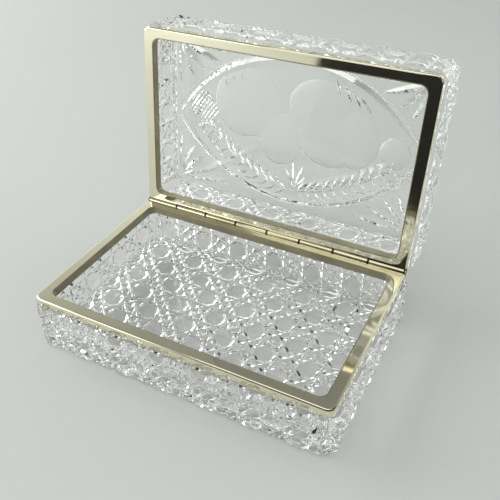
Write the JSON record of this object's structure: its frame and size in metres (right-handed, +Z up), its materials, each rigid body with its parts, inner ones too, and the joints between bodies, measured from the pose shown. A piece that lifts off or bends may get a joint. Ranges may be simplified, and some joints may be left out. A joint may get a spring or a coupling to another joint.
{
  "type": "hinged cut-glass box",
  "caption": "Rectangular cut-glass box with brass-rimmed tray and lid, joined along the rear by a full-length barrel hinge; holds small keepsakes.",
  "frame": {"origin": "centre of the flat underside of the base glass", "axes": "+X along the hinge, +Y towards the hinge side, +Z up. The lid is stored leaning on its open stop."},
  "size_m": [0.208, 0.1839, 0.1677],
  "materials": {
    "cut_glass": "clear polished lead crystal",
    "rim_brass": "polished pale gold lacquer",
    "collar_brass": "polished pale gold lacquer",
    "hinge_brass": "drawn and lacquered",
    "pin_steel": "drawn wire",
    "bedding": "matt plaster cement"
  },
  "bodies": {
    "base": {"base_glass": "cut_glass", "base_rim": "rim_brass", "base_collar": "collar_brass", "base_bedding": "bedding", "base_hinge_bearer": "hinge_brass", "base_knuckle_1": "hinge_brass", "base_knuckle_2": "hinge_brass", "base_knuckle_3": "hinge_brass", "base_knuckle_4": "hinge_brass", "hinge_pin": "pin_steel"},
    "lid": {"lid_glass": "cut_glass", "lid_rim": "rim_brass", "lid_collar": "collar_brass", "lid_bedding": "bedding", "lid_hinge_bearer": "hinge_brass", "lid_knuckle_1": "hinge_brass", "lid_knuckle_2": "hinge_brass", "lid_knuckle_3": "hinge_brass", "lid_knuckle_4": "hinge_brass"}
  },
  "joints": [
    {"name": "lid_hinge", "type": "hinge", "parent": "base", "child": "lid", "pos_m": [0, 0.06335, 0.038], "axis": [1, 0, 0], "range_deg": [0, 97]}
  ]
}
